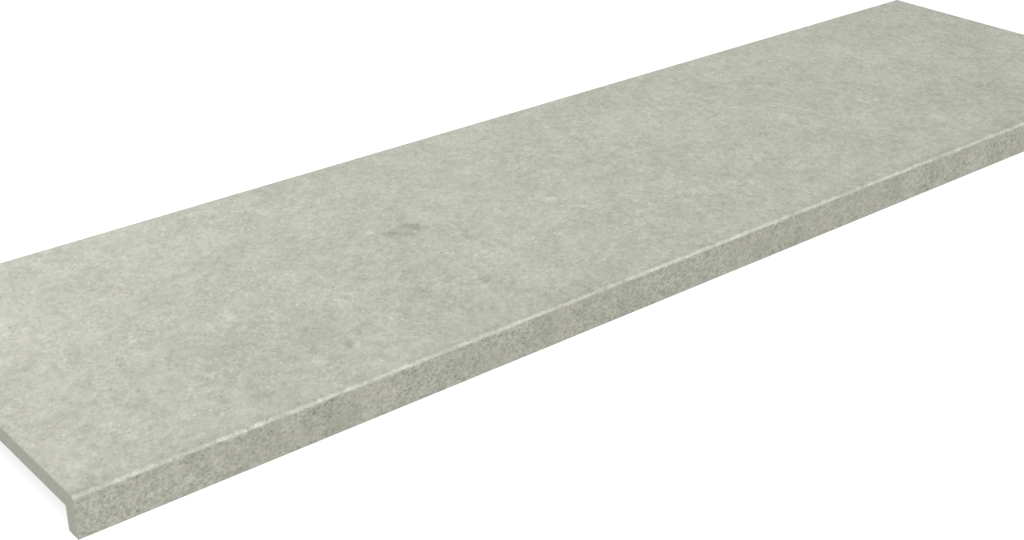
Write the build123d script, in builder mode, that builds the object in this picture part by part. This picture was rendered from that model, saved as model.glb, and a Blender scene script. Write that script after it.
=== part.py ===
from build123d import *
import os

# Stair tread tile, fired in one piece: a flat slab whose front edge turns down as a lip.
# X runs along the step, the nose faces -Y and the tread face looks up.
# The origin is the middle of the footprint, level with the foot of the lip.
# All sizes are in millimetres.

# Body
tread_length = 1200.0  # along the step
tread_depth = 330.0  # from the front of the nose to the rear edge
nose_height = 31.0  # from the tread face to the foot of the lip
slab_thickness = 12.5  # from the tread face to the ribs of the back
lip_thickness = 12.5  # from the front of the nose to the back of the lip

# Edges
nose_bevel = 2.0  # leg of the bevel ground along the nose
nose_softening = 1.0  # radius where that bevel runs into the tread face and the nose
edge_bevel = 0.4  # leg of the fine bevel round the other edges that show
foot_bevel = 0.4  # leg of the bevel on both edges of the lip's foot
inner_radius = 1.5  # hollow corner between the slab and the lip

# Keyed back: shallow pressed pockets between ribs, which the adhesive grips
key_cell = 42.0  # side of a pocket at its mouth
key_rib = 6.0  # width of the ribs between pockets
key_depth = 0.8  # depth of a pocket
key_draft = 30.0  # slope of a pocket's sides, in degrees
key_margin = 8.0  # least plain border round the pockets

# Planes of the section
front = -tread_depth / 2
rear = tread_depth / 2
lip_back = front + lip_thickness
foot = 0.0
tread_face = nose_height
underside = tread_face - slab_thickness

# Layout of the pockets, which fill the back from the hollow corner to the rear edge
key_pitch = key_cell + key_rib
key_start = lip_back + inner_radius + key_margin
key_end = rear - key_margin
key_centre = (key_start + key_end) / 2
key_rows = int((key_end - key_start + key_rib) // key_pitch)
key_columns = int((tread_length - 2 * key_margin + key_rib) // key_pitch)

with BuildPart() as stair_tread:
    # L section, seen along the step
    with BuildSketch(Plane.YZ) as section:
        with BuildLine():
            Polyline(
                (front, foot),
                (front, tread_face),
                (rear, tread_face),
                (rear, underside),
                (lip_back, underside),
                (lip_back, foot),
                close=True,
            )
        make_face()
        fillet(section.vertices().sort_by_distance((lip_back, underside))[0], inner_radius)
        chamfer(section.vertices().group_by(Axis.Y)[0], foot_bevel)
        chamfer(section.vertices().sort_by_distance((rear, tread_face))[0], edge_bevel)
        chamfer(section.vertices().sort_by_distance((front, tread_face))[0], nose_bevel)
        fillet(section.vertices().sort_by_distance((front, tread_face))[:2], nose_softening)
    extrude(amount=tread_length / 2, both=True)

    # Fine bevel where the tread face, the nose bevel and the front of the nose meet the ends
    shown_faces = stair_tread.faces().filter_by(
        lambda face: face.normal_at().Z - face.normal_at().Y > 0.5
    )
    chamfer(shown_faces.edges().filter_by(Axis.X, reverse=True), edge_bevel)

    # Pockets of the keyed back
    with BuildSketch(Plane.XY.offset(underside)):
        with Locations((0, key_centre)):
            with GridLocations(key_pitch, key_pitch, key_columns, key_rows):
                Rectangle(key_cell, key_cell)
    extrude(amount=key_depth, taper=key_draft, mode=Mode.SUBTRACT)

stair_tread.part.label = "stair_tread"

os.makedirs("parts", exist_ok=True)
export_step(stair_tread.part, "parts/stair_tread.step")
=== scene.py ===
import math

import bpy
from bpy.props import FloatProperty, FloatVectorProperty, IntProperty, PointerProperty
from bpy.types import Operator, Panel, PropertyGroup
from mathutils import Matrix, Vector


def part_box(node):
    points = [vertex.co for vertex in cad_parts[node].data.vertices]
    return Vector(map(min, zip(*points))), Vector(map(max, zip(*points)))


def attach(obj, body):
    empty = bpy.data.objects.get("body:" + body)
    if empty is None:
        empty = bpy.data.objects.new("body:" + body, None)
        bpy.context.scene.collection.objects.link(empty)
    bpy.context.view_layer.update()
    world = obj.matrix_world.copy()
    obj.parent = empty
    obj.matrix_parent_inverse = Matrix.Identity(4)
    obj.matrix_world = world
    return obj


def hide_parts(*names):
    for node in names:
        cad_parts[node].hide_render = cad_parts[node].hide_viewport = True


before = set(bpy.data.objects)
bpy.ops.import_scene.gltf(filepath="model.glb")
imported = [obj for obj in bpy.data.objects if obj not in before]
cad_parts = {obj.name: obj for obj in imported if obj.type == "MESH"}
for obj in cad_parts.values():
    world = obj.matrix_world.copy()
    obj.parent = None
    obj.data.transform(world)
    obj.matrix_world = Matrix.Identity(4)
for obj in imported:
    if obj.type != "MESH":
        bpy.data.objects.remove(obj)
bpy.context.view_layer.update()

bl_info = {
    "name": "Stair Tread Tile",
    "version": (1, 0, 0),
    "blender": (4, 5, 0),
    "location": "3D View > Sidebar > Stair Tread",
    "description": "Builds a fired stair tread tile with a cement look, and a plain studio round it",
    "category": "Object",
}

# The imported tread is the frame: its box gives the overall sizes, in metres.
TREAD_NODE = "stair_tread"
TREAD_LOW, TREAD_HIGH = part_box(TREAD_NODE)
TREAD_SIZE = TREAD_HIGH - TREAD_LOW
BODY = "root"
MM = 0.001
MERGE_DISTANCE = 0.002 * MM
HAIR = 0.01 * MM
SHARP_ANGLE = math.radians(24.0)


def length(name, description, millimetres):
    """A size that the user may change, written in millimetres."""
    return FloatProperty(
        name=name,
        description=description,
        default=millimetres * MM,
        min=0.0,
        precision=5,
        subtype="DISTANCE",
        unit="LENGTH",
    )


def colour(name, description, red, green, blue):
    """A surface colour, linear, as light reflected."""
    return FloatVectorProperty(
        name=name,
        description=description,
        default=(red, green, blue),
        min=0.0,
        max=1.0,
        size=3,
        subtype="COLOR",
    )


def amount(name, description, value):
    """A plain number, such as a share or a strength."""
    return FloatProperty(name=name, description=description, default=value, precision=3)


class TreadSizes(PropertyGroup):
    """Sizes of the tread's section, its keyed back and its surface relief."""

    slab_thickness: length("Slab thickness", "Tread face to the ribs of the back", 12.5)
    lip_thickness: length("Lip thickness", "Front of the nose to the back of the lip", 12.5)
    nose_bevel: length("Nose bevel", "Leg of the bevel ground along the nose", 2.0)
    nose_softening: length("Nose softening", "Radius at both edges of that bevel", 1.0)
    edge_bevel: length("Edge bevel", "Leg of the fine bevel on the other edges that show", 0.4)
    foot_bevel: length("Foot bevel", "Leg of the bevels on the foot of the lip", 0.4)
    inner_radius: length("Inner radius", "Hollow corner between the slab and the lip", 1.5)
    key_cell: length("Key cell", "Side of a pocket in the back, at its mouth", 42.0)
    key_rib: length("Key rib", "Width of the ribs between the pockets", 6.0)
    key_depth: length("Key depth", "Depth of a pocket", 0.8)
    key_wall: length("Key wall", "Width of a pocket's sloping sides", 0.46)
    key_margin: length("Key margin", "Least plain border round the pockets", 8.0)
    grid_step: length("Grid step", "Spacing of the mesh on the faces that show", 3.0)
    relief: length("Relief", "Depth of the pressed relief of the tread face and the nose", 0.16)
    relief_seed: IntProperty(name="Relief seed", description="Picks the relief", default=7)


class TreadFinish(PropertyGroup):
    """Colours and strengths of the cement look."""

    face_colour: colour("Tread face", "Mean colour of the tread face", 0.512, 0.512, 0.443)
    nose_colour: colour("Nose", "Mean colour of the front of the nose", 0.483, 0.482, 0.412)
    # Paler line along the nose bevel: partly bare body, partly a painted highlight of the bevel.
    worn_and_highlight_colour: colour("Worn and highlit arris", "Paler line along the nose bevel: bare body and painted highlight", 0.655, 0.655, 0.580)
    body_colour: colour("Fired body", "Ends, rear edge and back", 0.466, 0.463, 0.396)
    roughness: amount("Roughness", "Mean roughness of the matt face", 0.68)
    bump: amount("Bump", "Strength of the grain's bump", 0.35)
    drift_turn: FloatProperty(
        name="Drift turn",
        description="Direction in which the print's features lean, from +Y towards +X",
        default=math.radians(38.0),
        subtype="ANGLE",
    )
    drift_stretch: amount("Drift stretch", "How much longer the features are that way", 1.3)


class StudioSettings(PropertyGroup):
    """Camera, lamps and floor."""

    camera_place: FloatVectorProperty(
        name="Camera",
        description="Where the camera stands",
        default=(-0.90148, -0.93452, 0.56711),
        size=3,
        subtype="XYZ",
        unit="LENGTH",
    )
    camera_yaw: FloatProperty(
        name="Yaw",
        description="Turn of the view from +Y towards +X",
        default=math.radians(39.7743),
        subtype="ANGLE",
    )
    camera_pitch: FloatProperty(
        name="Pitch",
        description="Slope of the view, downwards",
        default=math.radians(26.2056),
        subtype="ANGLE",
    )
    lens: FloatProperty(
        name="Lens",
        description="Focal length on a 36 mm wide frame, in millimetres",
        default=55.778,
    )
    sky_strength: amount("Sky", "Even white light from all round", 0.39)
    front_strength: amount("Front lamp", "Strength of the wide soft light from the front", 1.94)
    left_power: FloatProperty(
        name="Left lamp",
        description="Power of the soft lamp beyond the left end",
        default=6.3,
        subtype="POWER",
        unit="POWER",
    )
    rear_power: FloatProperty(
        name="Rear lamp",
        description="Power of the soft lamp behind the tread",
        default=1.8,
        subtype="POWER",
        unit="POWER",
    )
    floor_grey: amount("Floor grey", "Share of light that the floor reflects", 0.50)
    floor_glow: amount("Floor glow", "White added where the camera sees the floor", 0.68)


class Wiring:
    """Adds nodes to a tree and wires them, so that a recipe reads from top to bottom."""

    def __init__(self, tree):
        self.tree = tree

    def add(self, kind, inputs=(), out=None, **settings):
        """A new node. Inputs are sockets or plain values, by place or by name; returns one output."""
        node = self.tree.nodes.new(kind)
        for name, value in settings.items():
            setattr(node, name, value)
        return self.wire(node, inputs, out)

    def wire(self, node, inputs, out=None):
        """Fills a node's inputs and returns the output asked for, or its first."""
        live = [socket for socket in node.inputs if socket.enabled]
        pairs = inputs.items() if isinstance(inputs, dict) else enumerate(inputs)
        for key, value in pairs:
            socket = live[key] if isinstance(key, int) else self.named(live, key)
            if isinstance(value, bpy.types.NodeSocket):
                self.tree.links.new(value, socket)
            else:
                socket.default_value = value
        shown = [socket for socket in node.outputs if socket.enabled]
        if not shown:
            return None
        return shown[0] if out is None else self.named(shown, out)

    @staticmethod
    def named(sockets, name):
        """The first socket of that name."""
        return next(socket for socket in sockets if socket.name == name)

    def math(self, operation, *values, clamp=False):
        """A Math node's result."""
        return self.add("ShaderNodeMath", values, operation=operation, use_clamp=clamp)

    def total(self, *values):
        """The sum of several values."""
        result = values[0]
        for value in values[1:]:
            result = self.math("ADD", result, value)
        return result

    def ramp(self, value, start, end, low, high):
        """A value eased from low to high as it passes from start to end."""
        inputs = {"Value": value, "From Min": start, "From Max": end, "To Min": low, "To Max": high}
        return self.add("ShaderNodeMapRange", inputs, interpolation_type="SMOOTHSTEP")

    def pick(self, kind, index, options):
        """One of several options, by an index that counts from 0."""
        node = self.tree.nodes.new("GeometryNodeIndexSwitch")
        node.data_type = kind
        while len(node.index_switch_items) < len(options):
            node.index_switch_items.new()
        return self.wire(node, [index, *options])

    def store(self, geometry, name, value, kind="FLOAT"):
        """Geometry with one more point attribute."""
        inputs = {"Geometry": geometry, "Name": name, "Value": value}
        return self.add("GeometryNodeStoreNamedAttribute", inputs, data_type=kind, domain="POINT")

    def stored(self, name, kind="FLOAT"):
        """An attribute's value."""
        return self.add("GeometryNodeInputNamedAttribute", {"Name": name}, data_type=kind)


def new_group(kind, name, inputs, outputs):
    """An empty node group with named sockets, as (tree, its inputs by name, its output node)."""
    tree = bpy.data.node_groups.new(name, kind)
    for socket_name, socket_type, default in inputs:
        socket = tree.interface.new_socket(socket_name, in_out="INPUT", socket_type=socket_type)
        if default is not None:
            socket.default_value = default
    for socket_name, socket_type in outputs:
        tree.interface.new_socket(socket_name, in_out="OUTPUT", socket_type=socket_type)
    entry = tree.nodes.new("NodeGroupInput")
    given = {socket.name: socket for socket in entry.outputs if socket.name}
    return tree, given, tree.nodes.new("NodeGroupOutput")


# Geometry of the tread

def key_lines_group():
    """Lines across a row of key pockets: two at the mouth and two at the floor of each pocket."""
    inputs = [
        ("Index", "NodeSocketInt", 0),
        ("Pockets", "NodeSocketInt", 1),
        ("Cell", "NodeSocketFloat", 0.0),
        ("Rib", "NodeSocketFloat", 0.0),
        ("Wall", "NodeSocketFloat", 0.0),
    ]
    outputs = [("Place", "NodeSocketFloat"), ("Floor", "NodeSocketFloat")]
    tree, given, result = new_group("GeometryNodeTree", "Key Lines", inputs, outputs)
    w = Wiring(tree)
    pocket = w.math("FLOOR", w.math("DIVIDE", given["Index"], 4.0))
    line = w.math("SUBTRACT", given["Index"], w.math("MULTIPLY", pocket, 4.0))
    half = w.math("MULTIPLY", given["Cell"], 0.5)
    inside = w.math("SUBTRACT", half, given["Wall"])
    across = w.pick(
        "FLOAT",
        line,
        [w.math("MULTIPLY", half, -1.0), w.math("MULTIPLY", inside, -1.0), inside, half],
    )
    pitch = w.math("ADD", given["Cell"], given["Rib"])
    middle = w.math("MULTIPLY", w.math("SUBTRACT", given["Pockets"], 1.0), 0.5)
    centre = w.math("MULTIPLY", w.math("SUBTRACT", pocket, middle), pitch)
    w.wire(result, {
        "Place": w.math("ADD", centre, across),
        "Floor": w.pick("FLOAT", line, [0.0, 1.0, 1.0, 0.0]),
    })
    return tree


def key_lines(w, group, index, pockets, given):
    """Place and floor flag of each line, from the shared group."""
    node = w.tree.nodes.new("GeometryNodeGroup")
    node.node_tree = group
    inputs = {
        "Index": index,
        "Pockets": pockets,
        "Cell": given["Key Cell"],
        "Rib": given["Key Rib"],
        "Wall": given["Key Wall"],
    }
    return w.wire(node, inputs, "Place"), w.wire(node, {}, "Floor")


def pockets_in(w, span, given):
    """How many pockets fit a span."""
    pitch = w.math("ADD", given["Key Cell"], given["Key Rib"])
    return w.math("FLOOR", w.math("DIVIDE", w.math("ADD", span, given["Key Rib"]), pitch))


def refined(w, curve, step, where=None):
    """A curve with points added along its long segments, about a step apart."""
    index = w.add("GeometryNodeInputIndex")
    after = w.add("GeometryNodeOffsetPointInCurve", [index, 1], "Point Index")
    place = w.add("GeometryNodeInputPosition")
    ahead = w.add(
        "GeometryNodeFieldAtIndex", [place, after], data_type="FLOAT_VECTOR", domain="POINT"
    )
    run = w.add("ShaderNodeVectorMath", [place, ahead], "Value", operation="DISTANCE")
    cuts = w.math("SUBTRACT", w.math("ROUND", w.math("DIVIDE", run, step)), 1.0)
    cuts = w.math("MAXIMUM", cuts, 0.0)
    if where is not None:
        middle = w.add("ShaderNodeVectorMath", [place, ahead], operation="ADD")
        middle = w.add("ShaderNodeVectorMath", {"Vector": middle, "Scale": 0.5}, operation="SCALE")
        cuts = w.math("MULTIPLY", cuts, where(middle))
    return w.add("GeometryNodeSubdivideCurve", {"Curve": curve, "Cuts": cuts})


def separate(w, vector):
    """The three parts of a vector."""
    node = w.tree.nodes.new("ShaderNodeSeparateXYZ")
    w.wire(node, [vector])
    return node.outputs


def tread_section(w, given, lines_group, planes):
    """The closed L section in the YZ plane, with the lines of the key pockets along its back."""
    front, rear, lip_back, underside, top = planes
    key_start = w.total(lip_back, given["Inner Radius"], given["Key Margin"])
    key_end = w.math("SUBTRACT", rear, given["Key Margin"])
    rows = pockets_in(w, w.math("SUBTRACT", key_end, key_start), given)
    key_centre = w.math("MULTIPLY", w.math("ADD", key_start, key_end), 0.5)

    foot_in = w.math("SUBTRACT", lip_back, given["Foot Bevel"])
    foot_out = w.math("ADD", front, given["Foot Bevel"])
    corners = [
        (foot_in, 0.0),
        (foot_out, 0.0),
        (front, given["Foot Bevel"]),
        (front, w.math("SUBTRACT", top, given["Nose Bevel"])),
        (w.math("ADD", front, given["Nose Bevel"]), top),
        (w.math("SUBTRACT", rear, given["Edge Bevel"]), top),
        (rear, w.math("SUBTRACT", top, given["Edge Bevel"])),
        (rear, underside),
        (lip_back, underside),
        (lip_back, given["Foot Bevel"]),
    ]
    soft, hollow = given["Nose Softening"], given["Inner Radius"]
    rounding = [0.0, 0.0, 0.0, soft, soft, 0.0, 0.0, 0.0, hollow, 0.0]
    before_back = 8

    index = w.add("GeometryNodeInputIndex")
    line_count = w.math("MULTIPLY", rows, 4.0)
    line = w.math("SUBTRACT", index, float(before_back))
    on_back = w.math(
        "MULTIPLY", w.math("GREATER_THAN", line, -0.5), w.math("LESS_THAN", line, line_count)
    )
    passed = w.math("GREATER_THAN", line, w.math("SUBTRACT", line_count, 0.5))
    corner = w.math("SUBTRACT", index, w.math("MULTIPLY", line_count, passed))
    place, floor = key_lines(w, lines_group, line, rows, given)
    points = [w.add("ShaderNodeCombineXYZ", [0.0, y, z]) for y, z in corners]
    at_corner = w.pick("VECTOR", corner, points)
    at_line = w.add(
        "ShaderNodeCombineXYZ", [0.0, w.math("SUBTRACT", key_centre, place), underside]
    )
    at = w.add("GeometryNodeSwitch", [on_back, at_corner, at_line], input_type="VECTOR")
    sharp = w.math("SUBTRACT", 1.0, on_back)

    count = w.math("ADD", line_count, float(len(corners)))
    section = w.add("GeometryNodePoints", {"Count": count, "Position": at})
    section = w.store(section, "plan_floor_across", w.math("MULTIPLY", floor, on_back))
    section = w.store(
        section, "plan_rounding", w.math("MULTIPLY", w.pick("FLOAT", corner, rounding), sharp)
    )
    section = w.add("GeometryNodePointsToCurves", [section])
    section = w.add("GeometryNodeSetSplineCyclic", {"Geometry": section, "Cyclic": True})
    fillet = w.tree.nodes.new("GeometryNodeFilletCurve")
    fillet.mode = "POLY"
    section = w.wire(
        fillet, {"Curve": section, "Count": 4, "Radius": w.stored("plan_rounding"), "Limit Radius": True}
    )

    def not_back(middle):
        across = separate(w, middle)
        above = w.math("GREATER_THAN", across["Z"], w.math("ADD", underside, HAIR))
        before = w.math("LESS_THAN", across["Y"], w.math("SUBTRACT", lip_back, HAIR))
        return w.math("MAXIMUM", above, before)

    return refined(w, section, given["Grid Step"], not_back)


def tread_rings(w, given, lines_group):
    """The line of rings along X: both ends, their bevels and the lines of the key pockets."""
    half = w.math("MULTIPLY", given["Length"], 0.5)
    inside = w.math("SUBTRACT", half, given["Edge Bevel"])
    ends = [w.math("MULTIPLY", half, -1.0), w.math("MULTIPLY", inside, -1.0), inside, half]
    span = w.math("SUBTRACT", given["Length"], w.math("MULTIPLY", given["Key Margin"], 2.0))
    columns = pockets_in(w, span, given)
    line_count = w.math("MULTIPLY", columns, 4.0)
    before_lines = 2

    index = w.add("GeometryNodeInputIndex")
    line = w.math("SUBTRACT", index, float(before_lines))
    on_line = w.math(
        "MULTIPLY", w.math("GREATER_THAN", line, -0.5), w.math("LESS_THAN", line, line_count)
    )
    passed = w.math("GREATER_THAN", line, w.math("SUBTRACT", line_count, 0.5))
    end = w.math("SUBTRACT", index, w.math("MULTIPLY", line_count, passed))
    place, floor = key_lines(w, lines_group, line, columns, given)
    along = w.add("GeometryNodeSwitch", [on_line, w.pick("FLOAT", end, ends), place], input_type="FLOAT")
    at_end = w.math(
        "MULTIPLY", w.pick("FLOAT", end, [1.0, 0.0, 0.0, 1.0]), w.math("SUBTRACT", 1.0, on_line)
    )

    count = w.math("ADD", line_count, float(len(ends)))
    rings = w.add(
        "GeometryNodePoints",
        {"Count": count, "Position": w.add("ShaderNodeCombineXYZ", [along, 0.0, 0.0])},
    )
    rings = w.store(rings, "plan_floor_along", w.math("MULTIPLY", floor, on_line))
    rings = w.store(rings, "plan_at_end", at_end)
    rings = w.add("GeometryNodePointsToCurves", [rings])
    return refined(w, rings, given["Grid Step"])


# Inputs of the tread's tree: the overall sizes come from the frame, the others from the user's sizes.
FRAME_INPUTS = ("Length", "Depth", "Nose Height")
SIZE_INPUTS = {
    "Slab Thickness": "slab_thickness",
    "Lip Thickness": "lip_thickness",
    "Nose Bevel": "nose_bevel",
    "Nose Softening": "nose_softening",
    "Edge Bevel": "edge_bevel",
    "Foot Bevel": "foot_bevel",
    "Inner Radius": "inner_radius",
    "Key Cell": "key_cell",
    "Key Rib": "key_rib",
    "Key Depth": "key_depth",
    "Key Wall": "key_wall",
    "Key Margin": "key_margin",
    "Grid Step": "grid_step",
    "Relief": "relief",
}
SEED_INPUT = "Relief Seed"


def tread_tree(materials):
    """Geometry Nodes that sweep the section along the step, key its back and press its relief."""
    inputs = [(name, "NodeSocketFloat", 0.0) for name in (*FRAME_INPUTS, *SIZE_INPUTS)]
    inputs.append((SEED_INPUT, "NodeSocketInt", 0))
    outputs = [("Geometry", "NodeSocketGeometry")]
    tree, given, result = new_group("GeometryNodeTree", "Stair Tread", inputs, outputs)
    w = Wiring(tree)
    lines_group = key_lines_group()

    front = w.math("MULTIPLY", given["Depth"], -0.5)
    rear = w.math("MULTIPLY", given["Depth"], 0.5)
    lip_back = w.math("ADD", front, given["Lip Thickness"])
    top = given["Nose Height"]
    underside = w.math("SUBTRACT", top, given["Slab Thickness"])
    section = tread_section(w, given, lines_group, (front, rear, lip_back, underside, top))
    rings = tread_rings(w, given, lines_group)

    # Each curve carries its own places, so the sweep can't turn or flip the section.
    place = w.add("GeometryNodeInputPosition")
    section = w.store(section, "plan_section_place", place, "FLOAT_VECTOR")
    rings = w.store(rings, "plan_ring_place", place, "FLOAT_VECTOR")
    flat = separate(w, place)
    section = w.add(
        "GeometryNodeSetPosition",
        {"Geometry": section, "Position": w.add("ShaderNodeCombineXYZ", [flat["Y"], flat["Z"], 0.0])},
    )
    mesh = w.add(
        "GeometryNodeCurveToMesh", {"Curve": rings, "Profile Curve": section, "Fill Caps": True}
    )
    mesh = w.add("GeometryNodeFlipFaces", [mesh])
    in_section = separate(w, w.stored("plan_section_place", "FLOAT_VECTOR"))
    along = separate(w, w.stored("plan_ring_place", "FLOAT_VECTOR"))["X"]

    # Pockets of the back, and the fine bevel round both ends
    pocket = w.math("MULTIPLY", w.stored("plan_floor_along"), w.stored("plan_floor_across"))
    sunk = w.math("MULTIPLY", pocket, given["Key Depth"])
    behind_front = w.math("SUBTRACT", in_section["Y"], front)
    below_top = w.math("SUBTRACT", top, in_section["Z"])
    eased = w.math("MULTIPLY", w.stored("plan_at_end"), given["Edge Bevel"])
    by_front = w.math(
        "SUBTRACT", 1.0, w.math("DIVIDE", behind_front, given["Nose Bevel"]), clamp=True
    )
    by_top = w.math("SUBTRACT", 1.0, w.math("DIVIDE", below_top, given["Nose Bevel"]), clamp=True)
    y = w.math("ADD", in_section["Y"], w.math("MULTIPLY", eased, by_front))
    z = w.math("ADD", in_section["Z"], sunk)
    z = w.math("SUBTRACT", z, w.math("MULTIPLY", eased, by_top))
    mesh = w.add(
        "GeometryNodeSetPosition",
        {"Geometry": mesh, "Position": w.add("ShaderNodeCombineXYZ", [along, y, z])},
    )
    mesh = w.add("GeometryNodeMergeByDistance", {"Geometry": mesh, "Distance": MERGE_DISTANCE})
    mesh = pressed_relief(w, mesh, given)

    # Smooth faces, with every arris kept sharp
    mesh = w.add(
        "GeometryNodeSetShadeSmooth", {"Geometry": mesh, "Shade Smooth": True}, domain="FACE"
    )
    bend = w.add("GeometryNodeInputMeshEdgeAngle", out="Unsigned Angle")
    arris = w.math("GREATER_THAN", bend, SHARP_ANGLE)
    mesh = w.add(
        "GeometryNodeSetShadeSmooth",
        {"Geometry": mesh, "Selection": arris, "Shade Smooth": False},
        domain="EDGE",
    )
    mesh = w.add(
        "GeometryNodeRemoveAttribute",
        {"Geometry": mesh, "Name": "plan_*"},
        pattern_mode="WILDCARD",
    )
    mesh = bake_map(w, mesh, given)
    mesh = w.add("GeometryNodeRealizeInstances", [mesh])
    facing = separate(w, w.add("GeometryNodeInputNormal"))
    upward = w.math("GREATER_THAN", facing["Z"], 0.2)
    forward = w.math("LESS_THAN", facing["Y"], -0.95)
    mesh = w.add("GeometryNodeSetMaterial", {"Geometry": mesh, "Material": materials["body"]})
    for name, where in (("face", upward), ("nose", forward)):
        mesh = w.add(
            "GeometryNodeSetMaterial",
            {"Geometry": mesh, "Selection": where, "Material": materials[name]},
        )
    w.wire(result, {"Geometry": mesh})
    return tree


def pressed_relief(w, mesh, given):
    """Presses the faces that show inwards by up to the relief, and leaves their edges straight."""
    facing = separate(w, w.add("GeometryNodeInputNormal"))
    flat = 0.995
    on_tread = w.math("GREATER_THAN", facing["Z"], flat)
    on_nose = w.math("LESS_THAN", facing["Y"], -flat)
    where = w.math("MAXIMUM", on_tread, on_nose)
    # Seeds lie well apart in the noise, so that each gives another relief.
    seed = w.math("MULTIPLY", given[SEED_INPUT], 3.7)
    swell = w.add("ShaderNodeTexNoise", {"W": seed, "Scale": 22.0, "Detail": 1.0}, noise_dimensions="4D")
    grip = w.add("ShaderNodeTexNoise", {"W": seed, "Scale": 115.0, "Detail": 1.0}, noise_dimensions="4D")
    depth = w.math("ADD", w.math("MULTIPLY", swell, 0.45), w.math("MULTIPLY", grip, 0.55))
    depth = w.math("MULTIPLY", depth, w.math("MULTIPLY", given["Relief"], -1.0))
    push = w.add(
        "ShaderNodeVectorMath",
        {"Vector": w.add("GeometryNodeInputNormal"), "Scale": depth},
        operation="SCALE",
    )
    return w.add(
        "GeometryNodeSetPosition", {"Geometry": mesh, "Selection": where, "Offset": push}
    )


# Patches of the square map that the finishes are baked through: what runs along its width and its
# height, its share of the map for each metre, and its low corner.
BAKE_PATCHES = (
    ("half", "depth", 1.34, (0.006, 0.004)),  # left half of the tread face
    ("half", "depth", 1.34, (0.006, 0.452)),  # right half of the tread face
    ("half", "height", 1.34, (0.006, 0.900)),  # left half of the nose
    ("half", "height", 1.34, (0.006, 0.948)),  # right half of the nose
    ("depth", "length", 0.43, (0.825, 0.004)),  # back of the slab and foot of the lip
    ("height", "length", 0.80, (0.972, 0.004)),  # rear edge and back of the lip
    ("height", "depth", 1.20, (0.825, 0.530)),  # left end
    ("height", "depth", 1.20, (0.870, 0.530)),  # right end
)
# Number of each part's first patch. The right one of two comes next.
FACE_PATCH = 0
NOSE_PATCH = 2
BACK_PATCH = 4
REAR_PATCH = 5
END_PATCH = 6


def bake_map(w, mesh, given):
    """Stores the map that the finishes are baked through, with most of its room for the tread face."""
    place = w.add("GeometryNodeInputPosition")
    normal = w.add("GeometryNodeInputNormal")
    per_face = {"data_type": "FLOAT_VECTOR", "domain": "FACE"}
    centre = separate(w, w.add("GeometryNodeFieldOnDomain", [place], **per_face))
    facing = separate(w, w.add("GeometryNodeFieldOnDomain", [normal], **per_face))

    at = separate(w, place)
    right = w.math("GREATER_THAN", centre["X"], 0.0)
    half = w.math("MULTIPLY", given["Length"], 0.5)
    length = w.math("ADD", at["X"], half)
    runs = {
        "length": length,
        "half": w.math("SUBTRACT", length, w.math("MULTIPLY", right, half)),
        "depth": w.math("MULTIPLY_ADD", given["Depth"], 0.5, at["Y"]),
        "height": at["Z"],
    }
    spots = []
    for across, up, share, (low_across, low_up) in BAKE_PATCHES:
        u = w.math("MULTIPLY_ADD", runs[across], share, low_across)
        v = w.math("MULTIPLY_ADD", runs[up], share, low_up)
        spots.append(w.add("ShaderNodeCombineXYZ", [u, v, 0.0]))

    # A face takes its patch by the way it looks. A later test wins over an earlier one.
    patch = w.math("ADD", right, END_PATCH)
    for where, chosen in (
        (w.math("GREATER_THAN", facing["Y"], 0.5), REAR_PATCH),
        (w.math("LESS_THAN", facing["Z"], -0.3), BACK_PATCH),
        (w.math("LESS_THAN", facing["Y"], -0.9), w.math("ADD", right, NOSE_PATCH)),
        (w.math("GREATER_THAN", facing["Z"], 0.2), w.math("ADD", right, FACE_PATCH)),
    ):
        patch = w.add("GeometryNodeSwitch", [where, patch, chosen], input_type="FLOAT")
    inputs = {"Geometry": mesh, "Name": "OFBake", "Value": w.pick("VECTOR", patch, spots)}
    return w.add("GeometryNodeStoreNamedAttribute", inputs, data_type="FLOAT2", domain="CORNER")


# Surface of the tread

def shader_group(name, inputs, outputs):
    """A shared effect of the surface, as (tree, its inputs, its output node, its wiring)."""
    tree, given, result = new_group("ShaderNodeTree", name, inputs, outputs)
    return tree, given, result, Wiring(tree)


# Layers of the cement's tone: name, features in a metre, and half the span of noise that it uses.
# The smaller that span, the crisper the layer.
TONE_LAYERS = (
    ("Clouds", 13.0, 0.30),
    ("Patches", 42.0, 0.30),
    ("Mottling", 130.0, 0.25),
    ("Grain", 280.0, 0.20),
    ("Speck", 560.0, 0.20),
    ("Dust", 1300.0, 0.20),
)


def cement_tone_group():
    """Light and dark of the cement about 0, from broad clouds down to dust, and its fine height."""
    inputs = [("Vector", "NodeSocketVector", None)]
    inputs += [(name, "NodeSocketFloat", 0.0) for name, scale, span in TONE_LAYERS]
    outputs = [("Tone", "NodeSocketFloat"), ("Height", "NodeSocketFloat")]
    tree, given, result, w = shader_group("Cement Tone", inputs, outputs)
    levels = []
    for name, scale, span in TONE_LAYERS:
        noise = w.add(
            "ShaderNodeTexNoise",
            {"Vector": given["Vector"], "Scale": scale, "Detail": 1.0, "Distortion": 0.25},
        )
        level = w.ramp(noise, 0.5 - span, 0.5 + span, -1.0, 1.0)
        levels.append(w.math("MULTIPLY", level, given[name]))
    clouds, patches, mottling, *fine = levels
    sandy = w.add("ShaderNodeTexNoise", {"Vector": given["Vector"], "Scale": 31.0, "Detail": 1.0})
    sandy = w.ramp(sandy, 0.35, 0.65, 0.75, 1.25)
    relief = w.math("ADD", mottling, w.math("MULTIPLY", w.total(*fine), sandy))
    w.wire(result, {"Tone": w.total(clouds, patches, relief), "Height": relief})
    return tree


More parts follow.
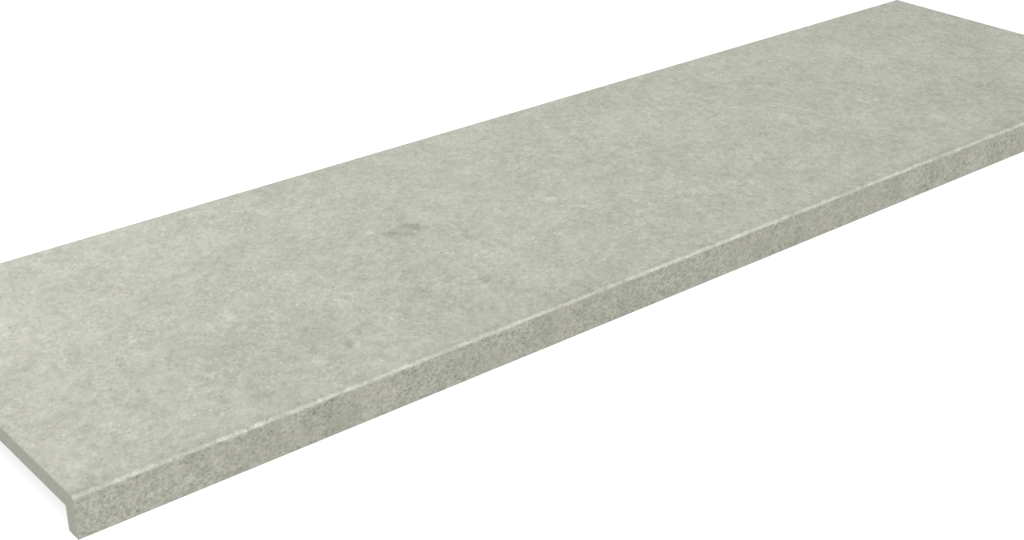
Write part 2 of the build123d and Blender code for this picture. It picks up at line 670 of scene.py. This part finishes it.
def flecks_group():
    """Small scattered spots: a share of the cells holds one, with a soft uneven rim."""
    inputs = [
        ("Vector", "NodeSocketVector", None),
        ("Scale", "NodeSocketFloat", 100.0),
        ("Share", "NodeSocketFloat", 0.3),
        ("Size", "NodeSocketFloat", 0.3),
    ]
    tree, given, result, w = shader_group("Flecks", inputs, [("Mask", "NodeSocketFloat")])
    cells = w.tree.nodes.new("ShaderNodeTexVoronoi")
    w.wire(cells, {"Vector": given["Vector"], "Scale": given["Scale"], "Randomness": 1.0})
    chance = separate(w, cells.outputs["Color"])
    held = w.math("LESS_THAN", chance["X"], given["Share"])
    spread = w.math("ADD", 0.5, w.math("MULTIPLY", chance["Y"], 0.5))
    size = w.math("MULTIPLY", given["Size"], spread)
    apart = w.math("DIVIDE", cells.outputs["Distance"], size)
    fade = w.math("SUBTRACT", 1.0, apart, clamp=True)
    soft = w.math("SMOOTH_MIN", w.math("MULTIPLY", fade, 1.6), 1.0, 0.3)
    w.wire(result, {"Mask": w.math("MULTIPLY", soft, held)})
    return tree


def mark_group():
    """One mark at a given place: a soft uneven oval on the tread face."""
    inputs = [
        ("Vector", "NodeSocketVector", None),
        ("Centre", "NodeSocketVector", None),
        ("Turn", "NodeSocketVector", None),
        ("Size", "NodeSocketVector", None),
        ("Ragged", "NodeSocketFloat", 0.5),
    ]
    tree, given, result, w = shader_group("Mark", inputs, [("Mask", "NodeSocketFloat")])
    place = {
        "Vector": given["Vector"],
        "Location": given["Centre"],
        "Rotation": given["Turn"],
        "Scale": given["Size"],
    }
    in_sizes = w.add("ShaderNodeMapping", place, vector_type="TEXTURE")
    far = w.add("ShaderNodeVectorMath", [in_sizes], "Value", operation="LENGTH")
    far = w.math("ADD", far, w.math("MULTIPLY", w.math("SUBTRACT", given["Ragged"], 0.5), 0.9))
    w.wire(result, {"Mask": w.ramp(far, 1.0, 0.1, 0.0, 1.0)})
    return tree


def worn_and_highlit_nose_group():
    """Mask of the pale line along the nose bevel, partly bare body and partly a painted highlight of the
    bevel, ragged and stronger in places; and a mask that darkens the tread face behind the nose, as a
    narrow strip close behind it and a painted shade that fades out over 150 mm."""
    inputs = [
        ("Vector", "NodeSocketVector", None),
        ("Front", "NodeSocketFloat", 0.0),
        ("Top", "NodeSocketFloat", 0.0),
        ("Bevel", "NodeSocketFloat", 2.0 * MM),
    ]
    outputs = [("Mask", "NodeSocketFloat"), ("Behind", "NodeSocketFloat")]
    tree, given, result, w = shader_group("Worn And Highlit Nose", inputs, outputs)
    place = separate(w, given["Vector"])
    inward = w.math("SUBTRACT", place["Y"], given["Front"])
    down = w.math("SUBTRACT", given["Top"], place["Z"])
    off_bevel = w.math("DIVIDE", w.math("SUBTRACT", down, inward), given["Bevel"])
    apart = w.math("ABSOLUTE", w.math("SUBTRACT", off_bevel, 0.45))
    ragged = w.add(
        "ShaderNodeTexNoise", {"Vector": given["Vector"], "Scale": 300.0, "Detail": 2.0}
    )
    apart = w.math("ADD", apart, w.math("MULTIPLY", w.math("SUBTRACT", ragged, 0.5), 2.6))
    line = w.ramp(apart, 1.5, 0.4, 0.0, 1.0)
    uneven_strength = w.add("ShaderNodeTexNoise", {"Vector": given["Vector"], "Scale": 48.0, "Detail": 1.0})
    # Behind the nose: a narrow darker strip close behind it, and painted shade that darkens the tread
    # face towards the nose over 150 mm.
    close = w.ramp(inward, 16 * MM, 4 * MM, 0.0, 0.5)
    shade_towards_nose = w.ramp(inward, 150 * MM, 0.0, 0.0, 0.5)
    w.wire(result, {
        "Mask": w.math("MULTIPLY", line, w.ramp(uneven_strength, 0.35, 0.62, 0.45, 1.0)),
        "Behind": w.math("ADD", close, shade_towards_nose),
    })
    return tree


# Marks of the tread face: centre X and Y, length and width in millimetres, turn of the length from
# +X in degrees, then strength. A mark below 0 is darker than the face, and one above 0 is paler.
MARKS = (
    (-215, 15, 14, 10, -40, -0.34),
    (-235, 15, 11, 9, -40, -0.28),
    (-224, 5, 14, 9, -40, -0.15),
    (-248, 29, 8, 5, 50, 0.22),
    (-410, -27, 10, 6, 50, 0.22),
    (-440, -53, 12, 7, -40, 0.12),
    (-398, -122, 12, 7, 50, 0.14),
    (-368, -116, 6, 4, 50, -0.10),
    (-363, -119, 7, 4, 50, 0.12),
    (-93, -13, 10, 6, -40, 0.18),
    (209, -32, 11, 8, 0, -0.16),
    (267, 62, 11, 8, 0, -0.15),
    (50, 39, 30, 24, 0, -0.04),
    (-231, -96, 11, 8, 50, -0.14),
    (-237, -104, 9, 7, 50, 0.14),
    (317, -105, 14, 9, 50, 0.13),
    (-545, 95, 170, 190, 0, 0.07),
    (-413, -73, 80, 60, 0, -0.02),
    (-305, -98, 75, 55, 0, -0.045),
    (-155, 115, 60, 80, 0, -0.045),
    (-105, 25, 75, 60, 0, 0.045),
    (-10, -112, 110, 45, 0, -0.025),
    (90, -62, 60, 50, 0, -0.055),
    (85, 140, 60, 50, 0, -0.05),
    (238, -105, 60, 45, 0, -0.055),
    (430, 55, 60, 95, 0, 0.05),
    (320, -122, 85, 55, 0, 0.045),
    (-545, -100, 95, 75, 0, 0.05),
    (-435, 148, 85, 40, 0, 0.06),
    (340, 142, 80, 40, 0, -0.04),
    (480, 115, 90, 60, 0, -0.025),
    (390, -35, 90, 60, 0, -0.02),
    (-162, -100, 80, 60, 0, 0.04),
    (245, -45, 70, 45, 0, 0.02),
)


def use_group(w, group, inputs, out=None):
    """One effect placed in a material, with its own values."""
    node = w.tree.nodes.new("ShaderNodeGroup")
    node.node_tree = group
    return w.wire(node, inputs, out)


def blank_material(name):
    """A material with an empty Principled surface, as (material, wiring, surface node, place)."""
    material = bpy.data.materials.new(name)
    material.use_nodes = True
    w = Wiring(material.node_tree)
    surface = w.tree.nodes["Principled BSDF"]
    place = w.add("ShaderNodeTexCoord", out="Object")
    return material, w, surface, place


def tinted(w, base, tone):
    """A colour made lighter or darker by a tone about 0. The darker it is, the warmer."""
    swing = w.add("ShaderNodeVectorMath", {"Vector": (1.0, 1.0, 1.06), "Scale": tone}, operation="SCALE")
    return w.add("ShaderNodeVectorMath", [base, swing, base], operation="MULTIPLY_ADD")


def finish_surface(w, surface, shade, height, finish, bump_depth):
    """Joins colour, roughness and bump to the surface."""
    rough = w.math("ADD", finish.roughness, w.math("MULTIPLY", height, -0.35), clamp=True)
    bump = w.add(
        "ShaderNodeBump", {"Strength": finish.bump, "Distance": bump_depth, "Height": height}
    )
    surface.inputs["IOR"].default_value = 1.5
    surface.inputs["Specular IOR Level"].default_value = 0.3
    w.wire(surface, {"Base Color": shade, "Roughness": rough, "Normal": bump})


def face_material(name, base, grain, drift_turn, groups, finish, sizes, marks):
    """The cement face of the tread or of the nose, with its print leaning one way."""
    material, w, surface, place = blank_material(name)
    drift = {
        "Vector": place,
        "Rotation": (0.0, 0.0, -drift_turn),
        "Scale": (1.0, finish.drift_stretch, 1.0),
    }
    drifted = w.add("ShaderNodeMapping", drift, vector_type="TEXTURE")
    tone = use_group(w, groups["tone"], {"Vector": drifted, **grain["tone"]}, "Tone")
    height = w.named(tone.node.outputs, "Height")
    for inputs, strength in grain["flecks"]:
        mask = use_group(w, groups["flecks"], {"Vector": drifted, **inputs})
        tone = w.math("ADD", tone, w.math("MULTIPLY", mask, strength))
    ragged = w.add("ShaderNodeTexNoise", {"Vector": place, "Scale": 170.0, "Detail": 2.0})
    for x, y, long, wide, turn, strength in marks:
        oval = {
            "Vector": place,
            "Centre": (x * MM, y * MM, TREAD_HIGH.z),
            "Turn": (0.0, 0.0, math.radians(turn)),
            "Size": (long * MM, wide * MM, long * MM),
            "Ragged": ragged,
        }
        tone = w.math("ADD", tone, w.math("MULTIPLY", use_group(w, groups["mark"], oval), strength))
    # The pale line along the nose bevel is partly bare body and partly a painted highlight of the bevel.
    nose = {"Vector": place, "Front": TREAD_LOW.y, "Top": TREAD_HIGH.z, "Bevel": sizes.nose_bevel}
    worn_and_highlight = use_group(w, groups["worn_and_highlight"], nose, "Mask")
    behind = w.named(worn_and_highlight.node.outputs, "Behind")
    # Darker behind the nose: a narrow strip, and painted shade towards the nose.
    tone = w.math("ADD", tone, w.math("MULTIPLY", behind, grain["behind nose"]))
    base_colour = w.add(
        "ShaderNodeMix",
        {"Factor": worn_and_highlight, "A": (*base, 1.0), "B": (*finish.worn_and_highlight_colour, 1.0)},
        data_type="RGBA",
    )
    shade = tinted(w, base_colour, tone)
    finish_surface(w, surface, shade, height, finish, 0.6 * MM)
    return material


def body_material(name, groups, finish):
    """The bare fired body of the ends, the rear edge and the back."""
    material, w, surface, place = blank_material(name)
    tone = use_group(w, groups["tone"], {"Vector": place, **BODY_GRAIN["tone"]}, "Tone")
    height = w.named(tone.node.outputs, "Height")
    base = w.add("ShaderNodeRGB")
    base.default_value = (*finish.body_colour, 1.0)
    finish_surface(w, surface, tinted(w, base, tone), height, finish, 0.4 * MM)
    return material


# Strengths of each finish: the layers of its tone, its flecks, and the darkening behind the nose, which
# is partly painted shade.
TREAD_GRAIN = {
    "tone": {
        "Clouds": 0.04,
        "Patches": 0.06,
        "Mottling": 0.065,
        "Grain": 0.05,
        "Speck": 0.035,
        "Dust": 0.05,
    },
    "flecks": [
        ({"Scale": 230.0, "Share": 0.45, "Size": 0.42}, 0.18),
        ({"Scale": 270.0, "Share": 0.45, "Size": 0.42}, -0.18),
        ({"Scale": 48.0, "Share": 0.50, "Size": 0.15}, 0.15),
        ({"Scale": 55.0, "Share": 0.40, "Size": 0.11}, -0.18),
    ],
    "behind nose": -0.08,
}
NOSE_GRAIN = {
    "tone": {
        "Clouds": 0.03,
        "Patches": 0.06,
        "Mottling": 0.06,
        "Grain": 0.06,
        "Speck": 0.11,
        "Dust": 0.08,
    },
    "flecks": [
        ({"Scale": 290.0, "Share": 0.40, "Size": 0.42}, 0.20),
        ({"Scale": 330.0, "Share": 0.45, "Size": 0.42}, -0.26),
    ],
    "behind nose": 0.0,
}
BODY_GRAIN = {
    "tone": {"Clouds": 0.02, "Mottling": 0.03, "Grain": 0.04, "Speck": 0.04, "Dust": 0.06},
}


def tread_materials(finish, sizes):
    """The three finishes of the tread, by the part that wears them."""
    groups = {
        "tone": cement_tone_group(),
        "flecks": flecks_group(),
        "mark": mark_group(),
        "worn_and_highlight": worn_and_highlit_nose_group(),
    }
    face = face_material(
        "tread_face_cement",
        finish.face_colour,
        TREAD_GRAIN,
        finish.drift_turn,
        groups,
        finish,
        sizes,
        MARKS,
    )
    along = math.radians(90.0)
    nose = face_material(
        "nose_cement", finish.nose_colour, NOSE_GRAIN, along, groups, finish, sizes, ()
    )
    return {"face": face, "nose": nose, "body": body_material("fired_body", groups, finish)}


class TREAD_OT_make_tread(Operator):
    """Builds the tread from its sizes, with its finishes, in place of the plain solid"""

    bl_idname = "tread.make_tread"
    bl_label = "Make Tread"

    def execute(self, context):
        sizes = context.scene.tread_sizes
        materials = tread_materials(context.scene.tread_finish, sizes)
        tree = tread_tree(materials)
        values = dict(zip(FRAME_INPUTS, TREAD_SIZE))
        for name, size in SIZE_INPUTS.items():
            values[name] = getattr(sizes, size)
        values[SEED_INPUT] = sizes.relief_seed
        tread = grown_mesh("stair_tread_tile", tree, values)
        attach(tread, BODY)
        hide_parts(TREAD_NODE)
        return {"FINISHED"}


def grown_mesh(name, tree, values):
    """The plain mesh that a tree of nodes makes from these input values."""
    seed = bpy.data.objects.new(name + "_seed", bpy.data.meshes.new(name + "_seed"))
    bpy.context.scene.collection.objects.link(seed)
    modifier = seed.modifiers.new("Grow", "NODES")
    modifier.node_group = tree
    for item in tree.interface.items_tree:
        if item.in_out == "INPUT":
            modifier[item.identifier] = values[item.name]
    bpy.context.view_layer.update()
    grown = seed.evaluated_get(bpy.context.evaluated_depsgraph_get())
    mesh = bpy.data.meshes.new_from_object(grown)
    seed.modifiers.remove(modifier)
    bpy.data.objects.remove(seed)
    if not mesh.polygons:
        raise RuntimeError(f"{tree.name} made no faces")
    mesh.name = name
    piece = bpy.data.objects.new(name, mesh)
    bpy.context.scene.collection.objects.link(piece)
    return piece


# Studio, with its places and widths in metres

FLOOR_WIDTH = 40.0
FLOOR_GAP = 0.1 * MM
FRONT_LAMP_PLACE = (-0.3, -1.8, 2.4)
FRONT_LAMP_SPREAD = math.radians(50.0)
LEFT_LAMP_PLACE = (-1.6, 0.2, 1.0)
REAR_LAMP_PLACE = (-0.3, 1.4, 1.2)
SOFT_LAMP_WIDTH = 1.0
SENSOR_WIDTH = 36.0  # of the camera, in millimetres


def floor_material(studio):
    """A grey floor that shows white to the camera and keeps the shadow."""
    material = bpy.data.materials.new("studio_floor")
    material.use_nodes = True
    w = Wiring(material.node_tree)
    surface = w.tree.nodes["Principled BSDF"]
    ray = w.tree.nodes.new("ShaderNodeLightPath").outputs
    seen = w.math("MAXIMUM", ray["Is Camera Ray"], ray["Is Glossy Ray"])
    seen = w.math("MAXIMUM", seen, ray["Is Transmission Ray"])
    grey = studio.floor_grey
    surface.inputs["Base Color"].default_value = (grey, grey, grey, 1.0)
    surface.inputs["Roughness"].default_value = 1.0
    surface.inputs["Specular IOR Level"].default_value = 0.0
    surface.inputs["Emission Color"].default_value = (1.0, 1.0, 1.0, 1.0)
    w.wire(surface, {"Emission Strength": w.math("MULTIPLY", seen, studio.floor_glow)})
    return material


class TREAD_OT_make_studio(Operator):
    """Builds the floor, the lamps and the camera"""

    bl_idname = "tread.make_studio"
    bl_label = "Make Studio"

    def execute(self, context):
        studio = context.scene.tread_studio
        self.make_floor(context.scene, studio)
        self.make_light(context.scene, studio)
        self.make_camera(context.scene, studio)
        context.scene.view_settings.view_transform = "Standard"
        return {"FINISHED"}

    def make_floor(self, scene, studio):
        """A wide level sheet, a hair under the foot of the lip."""
        half = 0.5 * FLOOR_WIDTH
        level = TREAD_LOW.z - FLOOR_GAP
        corners = [(-half, -half), (half, -half), (half, half), (-half, half)]
        mesh = bpy.data.meshes.new("studio_floor")
        mesh.from_pydata([(x, y, level) for x, y in corners], [], [(0, 1, 2, 3)])
        mesh.materials.append(floor_material(studio))
        floor = bpy.data.objects.new("studio_floor", mesh)
        scene.collection.objects.link(floor)

    def make_light(self, scene, studio):
        """Even white light all round, a wide soft light from the front and two soft lamps."""
        world = bpy.data.worlds.new("studio_sky")
        world.use_nodes = True
        w = Wiring(world.node_tree)
        sky = w.tree.nodes["Background"]
        seen = w.add("ShaderNodeLightPath", out="Is Camera Ray")
        lift = w.math("MULTIPLY", seen, 1.0 - studio.sky_strength)
        sky.inputs["Color"].default_value = (1.0, 1.0, 1.0, 1.0)
        w.wire(sky, {"Strength": w.math("ADD", lift, studio.sky_strength)})
        scene.world = world

        front = bpy.data.lights.new("front_lamp", "SUN")
        front.energy = studio.front_strength
        front.angle = FRONT_LAMP_SPREAD
        self.place_lamp(scene, front, FRONT_LAMP_PLACE)
        for name, power, place in (
            ("left_lamp", studio.left_power, LEFT_LAMP_PLACE),
            ("rear_lamp", studio.rear_power, REAR_LAMP_PLACE),
        ):
            lamp = bpy.data.lights.new(name, "AREA")
            lamp.shape = "DISK"
            lamp.size = SOFT_LAMP_WIDTH
            lamp.energy = power
            self.place_lamp(scene, lamp, place)

    def place_lamp(self, scene, lamp, place):
        """A lamp that looks at the middle of the tread face."""
        holder = bpy.data.objects.new(lamp.name, lamp)
        holder.location = place
        aim = Vector((0.0, 0.0, TREAD_HIGH.z)) - holder.location
        holder.rotation_euler = aim.to_track_quat("-Z", "Y").to_euler()
        scene.collection.objects.link(holder)

    def make_camera(self, scene, studio):
        """The photograph's view."""
        camera = bpy.data.cameras.new("camera")
        camera.lens = studio.lens
        camera.sensor_width = SENSOR_WIDTH
        eye = bpy.data.objects.new("camera", camera)
        eye.location = studio.camera_place
        level = math.radians(90.0)
        eye.rotation_euler = (level - studio.camera_pitch, 0.0, -studio.camera_yaw)
        scene.collection.objects.link(eye)
        scene.camera = eye


class TREAD_PT_panel(Panel):
    """Sizes, finish and studio of the stair tread"""

    bl_idname = "TREAD_PT_panel"
    bl_label = "Stair Tread Tile"
    bl_space_type = "VIEW_3D"
    bl_region_type = "UI"
    bl_category = "Stair Tread"

    def draw(self, context):
        scene = context.scene
        for group, operator in (
            (scene.tread_sizes, None),
            (scene.tread_finish, TREAD_OT_make_tread.bl_idname),
            (scene.tread_studio, TREAD_OT_make_studio.bl_idname),
        ):
            column = self.layout.column(align=True)
            for name in group.__annotations__:
                column.prop(group, name)
            if operator:
                column.operator(operator)


CLASSES = (
    TreadSizes,
    TreadFinish,
    StudioSettings,
    TREAD_OT_make_tread,
    TREAD_OT_make_studio,
    TREAD_PT_panel,
)


def register():
    for each in CLASSES:
        bpy.utils.register_class(each)
    bpy.types.Scene.tread_sizes = PointerProperty(type=TreadSizes)
    bpy.types.Scene.tread_finish = PointerProperty(type=TreadFinish)
    bpy.types.Scene.tread_studio = PointerProperty(type=StudioSettings)


def unregister():
    del bpy.types.Scene.tread_studio
    del bpy.types.Scene.tread_finish
    del bpy.types.Scene.tread_sizes
    for each in reversed(CLASSES):
        bpy.utils.unregister_class(each)


def main():
    register()
    bpy.ops.tread.make_tread()
    bpy.ops.tread.make_studio()


if __name__ == "__main__":
    main()
